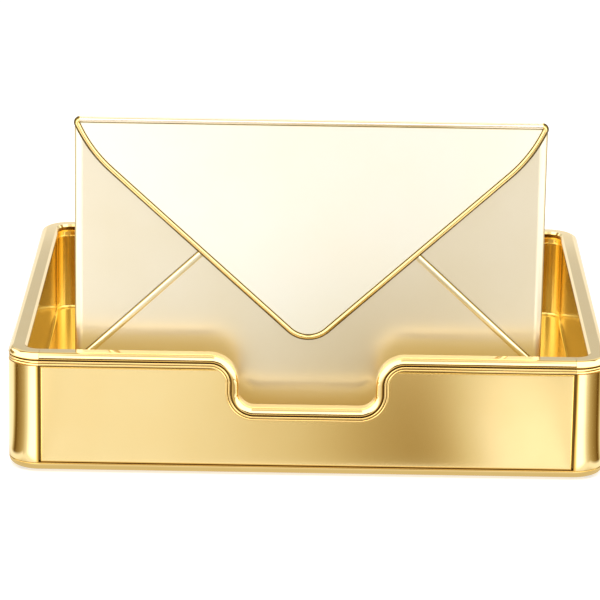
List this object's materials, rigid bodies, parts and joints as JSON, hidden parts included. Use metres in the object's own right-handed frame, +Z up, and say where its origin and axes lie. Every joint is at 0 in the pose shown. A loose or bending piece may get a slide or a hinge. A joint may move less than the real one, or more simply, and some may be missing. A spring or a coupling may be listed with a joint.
{
  "type": "letter tray with envelope pouch",
  "caption": "Open rectangular metal letter tray with a notched front and rounded rim, holding an upright envelope-shaped pouch with a hinged flap.",
  "frame": {"origin": "under the middle of the tray, at the level of the foot pads' undersides", "axes": "+X to the right along the tray's width, +Y to the back, +Z up; the notched front faces -Y"},
  "size_m": [0.332, 0.285, 0.1975],
  "materials": {
    "polished_gold": "polished gold",
    "satin_gold": "satin gold",
    "amber_gold": "polished deep gold",
    "champagne_flap": "satin champagne",
    "champagne_body": "satin champagne",
    "bead_gold": "polished gold",
    "plate_metal": "plain sheet",
    "board": "raw fibreboard",
    "screw_steel": "zinc-plated",
    "foot_rubber": "matt"
  },
  "bodies": {
    "tray": {"front_rim": "polished_gold", "rear_rim": "polished_gold", "base_frame": "polished_gold", "front_panel": "satin_gold", "right_panel": "satin_gold", "back_panel": "satin_gold", "left_panel": "satin_gold", "inner_liner": "amber_gold", "envelope_channel": "amber_gold", "base_plate": "plate_metal", "floor_board": "board", "rim_tie_screws": "screw_steel", "base_screws": "screw_steel", "channel_screws": "screw_steel", "corner_post_front_left": "polished_gold", "foot_pad_front_left": "foot_rubber", "corner_post_front_right": "polished_gold", "foot_pad_front_right": "foot_rubber", "corner_post_back_left": "polished_gold", "foot_pad_back_left": "foot_rubber", "corner_post_back_right": "polished_gold", "foot_pad_back_right": "foot_rubber"},
    "envelope": {"envelope_back": "champagne_body", "left_side_flap": "champagne_body", "right_side_flap": "champagne_body", "bottom_flap": "champagne_body", "bottom_flap_bead": "bead_gold", "hinge_pin": "screw_steel"},
    "flap": {"flap_panel": "champagne_flap", "flap_edge_bead": "bead_gold", "hinge_leaf": "champagne_body"}
  },
  "joints": [
    {"name": "envelope_lift", "type": "slide", "parent": "tray", "child": "envelope", "axis": [0, 0, 1], "range_m": [0, 0.056]},
    {"name": "flap_hinge", "type": "hinge", "parent": "envelope", "child": "flap", "pos_m": [0, -0.1067, 0.1923], "axis": [-1, 0, 0], "range_deg": [0, 180]}
  ]
}
